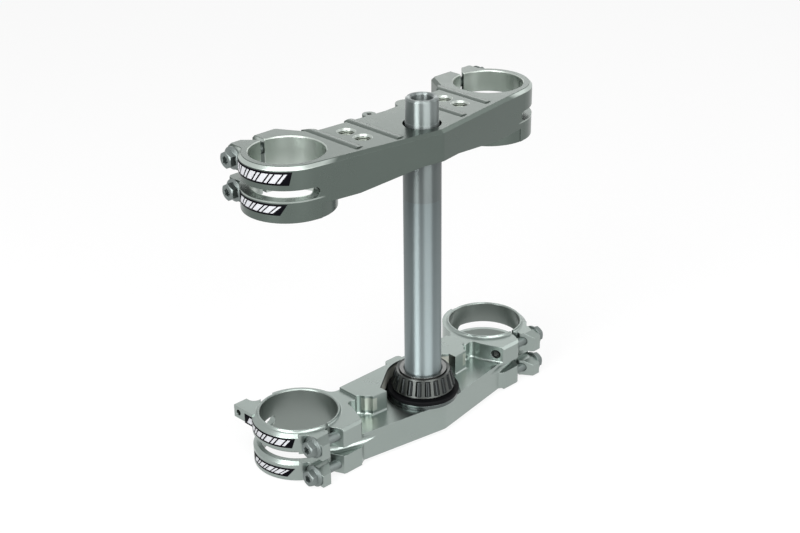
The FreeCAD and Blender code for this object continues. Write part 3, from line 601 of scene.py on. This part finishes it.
class Finish(Enum):
    """Every metal finish on the object."""

    UPPER_ANODISED = MetalFinish(
        "upper_anodised",
        colour=(0.108, 0.131, 0.118),
        roughness=0.28,
        mark=ToolMark.MILLED,
        patches=(*BAR_HOLE_RIMS, UPPER_RING_CHAMFER_HIGHLIGHT, UPPER_RELIEF_EDGE_HIGHLIGHT, UPPER_BORES_PAINTED_LIGHT),
    )
    LOWER_ANODISED = MetalFinish(
        "lower_anodised",
        colour=(0.284, 0.326, 0.307),
        roughness=0.29,
        mark=ToolMark.MILLED,
        edge_radius=0.0005,
        patches=(SEAL_BOSS_PAINTED_SHADE, *RECESS_WALLS_PAINTED_LIGHT, SCALLOP_HIGHLIGHTS, LOWER_BORES_PAINTED_SHADE),
    )
    TURNED_STEM = MetalFinish(
        "turned_stem",
        colour=(0.242, 0.285, 0.29),
        roughness=0.45,
        mark=ToolMark.TURNED,
        mark_pitch=0.0007,
        mark_depth=0.000003,
        anisotropic=0.95,
        anisotropic_turn=0.25,
        # Painted shade: the stem darker towards the top, under the upper clamp
        fade_from_z=0.06,
        fade_over=0.15,
        fade=0.45,
        patches=(STEM_IN_CLAMP, STEM_STUB),
    )
    BEARING_STEEL = MetalFinish(
        "bearing_steel",
        colour=(0.2, 0.205, 0.2),
        roughness=0.25,
        mark=ToolMark.TURNED,
    )
    ROLLER_STEEL = MetalFinish(
        "roller_steel",
        colour=(0.028, 0.031, 0.031),
        roughness=0.16,
        mark=ToolMark.TUMBLED,
    )
    CAGE_STEEL = MetalFinish(
        "pressed_steel",
        colour=(0.078, 0.084, 0.08),
        roughness=0.3,
        mark=ToolMark.TUMBLED,
        roughness_spread=0.12,
        edge_radius=0.0005,
    )
    # Painted shade: a near-black thread for the pinch bolt holes of the lower clamp
    THREAD_PAINTED_SHADE = MetalFinish(
        "thread_shade",
        colour=(0.05, 0.056, 0.052),
        roughness=0.4,
        mark=ToolMark.TUMBLED,
    )
    # Painted light: a lighter thread for the bar mount holes of the upper clamp
    TAPPED_THREAD_PAINTED_LIGHT = MetalFinish(
        "tapped_thread",
        colour=(0.17, 0.19, 0.165),
        roughness=0.4,
        mark=ToolMark.TUMBLED,
    )
    BOLT_STEEL = MetalFinish(
        "bolt_steel",
        colour=(0.175, 0.2, 0.194),
        roughness=0.45,
        mark=ToolMark.TUMBLED,
        roughness_spread=0.14,
        tint_spread=0.12,
        mark_depth=0.00001,
        patches=(BOLT_ENDS_PAINTED_SHADE,),
    )


class Dresser:
    """Gives the CAD nodes their finishes and adds new pieces."""

    def __init__(self, nodes: Mapping[str, bpy.types.Object]) -> None:
        """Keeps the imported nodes."""
        self.nodes = nodes

    def dress(self, node: str, material: bpy.types.Material) -> None:
        """Assigns a material to a CAD node.

        Args:
            node: The node's name.
            material: Its finish.
        """
        slots = self.nodes[node].data.materials
        slots.clear()
        slots.append(material)
        LOG.info("dressed %s in %s", node, material.name)

    def piece(
        self, name: str, mesh: bmesh.types.BMesh, body: str, material: bpy.types.Material
    ) -> bpy.types.Object:
        """Turns a finished bmesh into a piece that rides on a body.

        Args:
            name: The piece's name.
            mesh: Its bmesh, in the row frame. It is freed.
            body: The body that it rides on.
            material: Its finish.

        Returns:
            The new object.
        """
        data = bpy.data.meshes.new(name)
        mesh.to_mesh(data)
        mesh.free()
        data.materials.append(material)
        made = bpy.data.objects.new(name, data)
        bpy.context.scene.collection.objects.link(made)
        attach(made, body)
        LOG.info("built %s with %d faces", name, len(data.polygons))
        return made


@dataclass(frozen=True)
class LabelStrip:
    """A printed film stuck round the ring of the left fork leg.

    Its right end leans by slant_degrees, and flat_length of its left end runs on straight past the ring.
    It stands off the ring by lift_share of its thickness.
    """

    name: str
    ring_radius: float
    low_z: float
    high_z: float
    start_degrees: float
    end_degrees: float
    slant_degrees: float
    pairs: float
    flat_length: float = 0.0
    centre: tuple[float, float] = (-FORK_X, FORK_Y)
    thickness: float = 0.00012
    lift_share: float = 0.3
    columns: int = 72
    rows: int = 4

    def place(self, across: float, up: float) -> Vector:
        """Finds a point of the label on the ring.

        Args:
            across: The point's share of the label's length.
            up: Its share of the label's height.

        Returns:
            The place in the row frame.
        """
        start = math.radians(self.start_degrees)
        end = math.radians(self.end_degrees + self.slant_degrees * up)
        arc = (end - start) * self.ring_radius
        travelled = across * (arc + self.flat_length) - self.flat_length
        angle = start + max(travelled, 0.0) / self.ring_radius
        radius = self.ring_radius + self.thickness * self.lift_share
        x = self.centre[0] + radius * math.cos(angle)
        y = self.centre[1] + radius * math.sin(angle) - min(travelled, 0.0)
        return Vector((x, y, self.low_z + (self.high_z - self.low_z) * up))

    def build(self, dresser: Dresser) -> None:
        """Bends a flat grid onto the ring and gives it the film's thickness.

        Args:
            dresser: What adds the piece.
        """
        mesh = bmesh.new()
        mesh.loops.layers.uv.new("UVMap")
        bmesh.ops.create_grid(mesh, x_segments=self.columns, y_segments=self.rows, size=0.5, calc_uvs=True)
        for vert in mesh.verts:
            vert.co = self.place(vert.co.x + 0.5, vert.co.y + 0.5)
        for face in mesh.faces:
            face.smooth = True
        bmesh.ops.recalc_face_normals(mesh, faces=mesh.faces)
        middle = math.radians((self.start_degrees + self.end_degrees) / 2)
        outward = Vector((math.cos(middle), math.sin(middle), 0.0))
        if sum(face.normal.dot(outward) for face in mesh.faces) < 0:
            bmesh.ops.reverse_faces(mesh, faces=mesh.faces)
        bmesh.ops.solidify(mesh, geom=mesh.faces[:], thickness=-self.thickness)
        length = math.radians(self.end_degrees - self.start_degrees) * self.ring_radius + self.flat_length
        film = LabelFinish(self.name + "_film", length, self.high_z - self.low_z, self.pairs)
        dresser.piece(self.name, mesh, "clamp_set", film.material())


@dataclass(frozen=True)
class ThreadSize:
    """The length, radii and pitch of the thread in a tapped hole."""

    length: float
    outer: float
    crest: float
    pitch: float


@dataclass(frozen=True)
class ThreadInsert:
    """The turns of thread that show in a tapped hole. Start is the first turn's centre."""

    name: str
    slot: str
    start: Place
    axis: Place
    size: ThreadSize
    root_gap: float = 0.00005
    spin_steps: int = 32
    merge_distance: float = 1e-7

    def profile(self) -> list[tuple[float, float]]:
        """Draws the section of the turns and of the wall behind them.

        Returns:
            The corners, as depth and radius.
        """
        pitch = self.size.pitch
        turns = int(self.size.length / pitch)
        corners = [(0.0, self.size.outer)]
        for turn in range(turns):
            corners.append(((turn + 0.5) * pitch, self.size.crest))
            corners.append(((turn + 1) * pitch, self.size.outer - self.root_gap))
        corners.append((turns * pitch, self.size.outer))
        return corners

    def build(self, dresser: Dresser, material: bpy.types.Material) -> None:
        """Spins the section round the hole's axis.

        Args:
            dresser: What adds the piece.
            material: The thread's finish.
        """
        mesh = bmesh.new()
        start, along = Vector(self.start), Vector(self.axis)
        outward = along.orthogonal().normalized()
        corners = [start + along * depth + outward * radius for depth, radius in self.profile()]
        verts = [mesh.verts.new(corner) for corner in corners]
        edges = [mesh.edges.new(pair) for pair in zip(verts, verts[1:] + verts[:1])]
        bmesh.ops.spin(
            mesh,
            geom=verts + edges,
            cent=start,
            axis=along,
            angle=math.tau,
            steps=self.spin_steps,
            use_merge=True,
        )
        bmesh.ops.remove_doubles(mesh, verts=mesh.verts, dist=self.merge_distance)
        bmesh.ops.recalc_face_normals(mesh, faces=mesh.faces)
        dresser.piece(self.name, mesh, "clamp_set", material)


@dataclass(frozen=True)
class ClampSet:
    """Both clamps with their stem, seal and pinch bolts."""

    labels: tuple[LabelStrip, ...] = (
        LabelStrip(
            "label_top_upper",
            ring_radius=0.036,
            low_z=0.2468,
            high_z=0.2568,
            start_degrees=139.0,
            end_degrees=231.0,
            slant_degrees=4.0,
            pairs=5.0,
        ),
        LabelStrip(
            "label_top_lower",
            ring_radius=0.036,
            low_z=0.2236,
            high_z=0.2322,
            start_degrees=148.0,
            end_degrees=219.0,
            slant_degrees=9.0,
            pairs=4.0,
        ),
        LabelStrip(
            "label_bottom_upper",
            ring_radius=0.037,
            low_z=0.0292,
            high_z=0.0376,
            start_degrees=142.6,
            end_degrees=220.5,
            slant_degrees=4.0,
            pairs=5.0,
            flat_length=0.009,
        ),
        LabelStrip(
            "label_bottom_lower",
            ring_radius=0.037,
            low_z=0.003,
            high_z=0.0106,
            start_degrees=152.0,
            end_degrees=213.0,
            slant_degrees=10.0,
            pairs=4.0,
        ),
    )
    pinch_thread: ThreadSize = ThreadSize(length=0.0051, outer=0.00401, crest=0.0034, pitch=0.00125)
    pinch_thread_x: float = 0.0816
    pinch_thread_z: float = 0.033
    bar_thread: ThreadSize = ThreadSize(length=0.0146, outer=0.00601, crest=0.0054, pitch=0.00175)
    bar_thread_depth: float = 0.0004

    def build(self, dresser: Dresser) -> None:
        """Dresses the rigid pieces and adds the labels and threads.

        Args:
            dresser: What dresses and adds the pieces.
        """
        dresser.dress("top_clamp", Finish.UPPER_ANODISED.value.material())
        dresser.dress("bottom_clamp", Finish.LOWER_ANODISED.value.material())
        dresser.dress("steering_stem", Finish.TURNED_STEM.value.material())
        dresser.dress("dust_seal", RubberFinish("seal_rubber").material())
        bolt = Finish.BOLT_STEEL.value.material()
        for clamp in ("top", "bottom"):
            for side in ("left", "right"):
                for level in ("upper", "lower"):
                    dresser.dress(f"{clamp}_{side}_{level}_bolt", bolt)
        for label in self.labels:
            label.build(dresser)
        self.threads(dresser)

    def threads(self, dresser: Dresser) -> None:
        """Cuts the threads of the upper pinch bolts of the lower clamp and of the bar mounts.

        Args:
            dresser: What adds the pieces.
        """
        # The pinch bolt threads are painted dark as shade in their holes; the bar mount threads are painted
        # lighter as light in theirs
        shade = Finish.THREAD_PAINTED_SHADE.value.material()
        tapped = Finish.TAPPED_THREAD_PAINTED_LIGHT.value.material()
        down = (0.0, 0.0, -1.0)
        for side, word in ((-1.0, "left"), (1.0, "right")):
            mouth = (side * self.pinch_thread_x, PINCH_BOLT_Y, self.pinch_thread_z)
            outward = (side, 0.0, 0.0)
            pinch = ThreadInsert(f"thread_{word}", "lower_anodised", mouth, outward, self.pinch_thread)
            pinch.build(dresser, shade)
            for row, y in BAR_HOLE_ROWS.items():
                mouth = (side * BAR_HOLE_X, y, BAR_HOLE_Z - self.bar_thread_depth)
                name = f"thread_bar_{word}_{row}"
                ThreadInsert(name, "upper_anodised", mouth, down, self.bar_thread).build(dresser, tapped)


@dataclass(frozen=True)
class Bearing:
    """The tapered roller bearing on the stem."""

    rollers: int = 20

    def build(self, dresser: Dresser) -> None:
        """Dresses the cone, the cage and the rollers.

        Args:
            dresser: What dresses the pieces.
        """
        dresser.dress("bearing_cone", Finish.BEARING_STEEL.value.material())
        dresser.dress("bearing_cage", Finish.CAGE_STEEL.value.material())
        steel = Finish.ROLLER_STEEL.value.material()
        for index in range(self.rollers):
            dresser.dress(f"roller_{index + 1:02d}", steel)


@dataclass(frozen=True)
class Softbox:
    """A rectangular studio lamp that points at the object."""

    name: str
    azimuth: float
    elevation: float
    distance: float
    width: float
    height: float
    radiance: float
    aim: Place = (0.0, 0.0, 0.14)

    def build(self) -> None:
        """Adds the lamp."""
        data = bpy.data.lights.new(self.name, "AREA")
        data.shape = "RECTANGLE"
        data.size = self.width
        data.size_y = self.height
        data.energy = math.pi * self.width * self.height * self.radiance
        lamp = bpy.data.objects.new(self.name, data)
        back = towards(self.azimuth, self.elevation)
        lamp.location = Vector(self.aim) + back * self.distance
        lamp.rotation_mode = "QUATERNION"
        lamp.rotation_quaternion = (-back).to_track_quat("-Z", "Y")
        lamp.visible_camera = False
        bpy.context.scene.collection.objects.link(lamp)


@dataclass(frozen=True)
class Studio:
    """Floor, lamps, world and camera.

    The camera stands at azimuth and elevation, looks past the object's axis by target_right at the
    height target_z, and is rolled by roll. Angles are in degrees, and the lens is in millimetres.
    """

    floor_radius: float = 8.0
    floor_z: float = -0.0018
    floor_segments: int = 96
    floor_colour: Colour = (0.86, 0.86, 0.86)
    floor_spread: float = 0.01
    floor_grain: float = 300.0
    floor_white: float = 0.85
    world_level: float = 0.35
    lamps: tuple[Softbox, ...] = (
        Softbox("back_softbox", 135.7, 18.5, distance=4.0, width=3.4, height=0.6, radiance=1.85),
        Softbox("key_softbox", -60.0, 66.0, distance=1.6, width=1.5, height=1.0, radiance=2.4),
        Softbox("left_strip", -81.0, 20.0, distance=2.0, width=1.0, height=2.0, radiance=8.0),
        Softbox("right_softbox", -12.0, 20.0, distance=2.0, width=1.7, height=2.0, radiance=4.2),
        Softbox("side_softbox", 62.0, 30.0, distance=2.0, width=0.8, height=0.8, radiance=1.5),
    )
    azimuth: float = -44.273
    elevation: float = 25.374
    roll: float = -0.633
    distance: float = 1.1955
    target_z: float = 0.14034
    target_right: float = -0.01787
    lens: float = 67.95
    sensor_width: float = 36.0
    clip: tuple[float, float] = (0.01, 100.0)

    def seen(self, graph: Graph) -> Signal:
        """Tells what the camera sees from what lights the object.

        Args:
            graph: The graph of the floor's material or of the world.

        Returns:
            1 for camera rays and for what metal and glass show, 0 for light that falls on the object.
        """
        path = graph.node("ShaderNodeLightPath", {}, {})
        kinds = ("Camera", "Glossy", "Transmission")
        rays = [Signal(graph, path.outputs[f"Is {kind} Ray"]) for kind in kinds]
        return rays[0].maths("MAXIMUM", rays[1]).maths("MAXIMUM", rays[2])

    def paper(self) -> bpy.types.Material:
        """Builds the floor's material.

        Returns:
            Pale matt paper, almost white to the camera.
        """
        material, graph = new_material("floor_paper")
        grain = graph.noise(graph.place(), self.floor_grain)
        low = scaled(self.floor_colour, 1.0 - self.floor_spread)
        high = scaled(self.floor_colour, 1.0 + self.floor_spread)
        matt = graph.value("ShaderNodeBsdfDiffuse", {}, {"Color": graph.tint(grain, low, high)})
        white = graph.value("ShaderNodeEmission", {}, {"Color": (1.0, 1.0, 1.0, 1.0), "Strength": 1.0})
        inputs = {0: self.seen(graph) * self.floor_white, 1: matt, 2: white}
        graph.finish(graph.value("ShaderNodeMixShader", {}, inputs), "ShaderNodeOutputMaterial")
        return material

    def floor(self) -> None:
        """Lays a round plain floor under the object."""
        mesh = bmesh.new()
        bmesh.ops.create_circle(mesh, cap_ends=True, segments=self.floor_segments, radius=self.floor_radius)
        bmesh.ops.translate(mesh, verts=mesh.verts, vec=(0.0, 0.0, self.floor_z))
        data = bpy.data.meshes.new("floor")
        mesh.to_mesh(data)
        mesh.free()
        data.materials.append(self.paper())
        plate = bpy.data.objects.new("floor", data)
        bpy.context.scene.collection.objects.link(plate)

    def world(self) -> None:
        """Makes the world white to the camera and in reflections, and softer as light on the object."""
        world = bpy.data.worlds.new("studio")
        bpy.context.scene.world = world
        world.use_nodes = True
        graph = Graph(world.node_tree)
        level = self.seen(graph) * (1.0 - self.world_level) + self.world_level
        shade = graph.value("ShaderNodeBackground", {}, {"Color": (1.0, 1.0, 1.0, 1.0), "Strength": level})
        graph.finish(shade, "ShaderNodeOutputWorld")

    def camera(self) -> None:
        """Sets the camera at the photograph's viewing angle, for a frame of 800 by 533."""
        turn, roll = math.radians(self.azimuth), math.radians(self.roll)
        back = towards(self.azimuth, self.elevation)
        right = Vector((math.cos(turn), math.sin(turn), 0.0))
        up = back.cross(right)
        place = Vector((0.0, 0.0, self.target_z)) + right * self.target_right + back * self.distance
        rolled_right = right * math.cos(roll) + up * math.sin(roll)
        rolled_up = up * math.cos(roll) - right * math.sin(roll)
        data = bpy.data.cameras.new("camera")
        data.sensor_width = self.sensor_width
        data.lens = self.lens
        data.clip_start, data.clip_end = self.clip
        camera = bpy.data.objects.new("camera", data)
        turned = Matrix((rolled_right, rolled_up, back)).transposed()
        camera.matrix_world = Matrix.Translation(place) @ turned.to_4x4()
        bpy.context.scene.collection.objects.link(camera)
        bpy.context.scene.camera = camera

    def build(self) -> None:
        """Sets the whole studio up."""
        self.floor()
        self.world()
        for lamp in self.lamps:
            lamp.build()
        self.camera()
        bpy.context.scene.view_settings.view_transform = "Standard"


def main() -> None:
    """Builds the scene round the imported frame."""
    logging.basicConfig(level=logging.INFO, format="%(name)s: %(message)s")
    Studio().build()
    dresser = Dresser(frame["nodes"])
    ClampSet().build(dresser)
    Bearing().build(dresser)


if __name__ == "__main__":
    main()
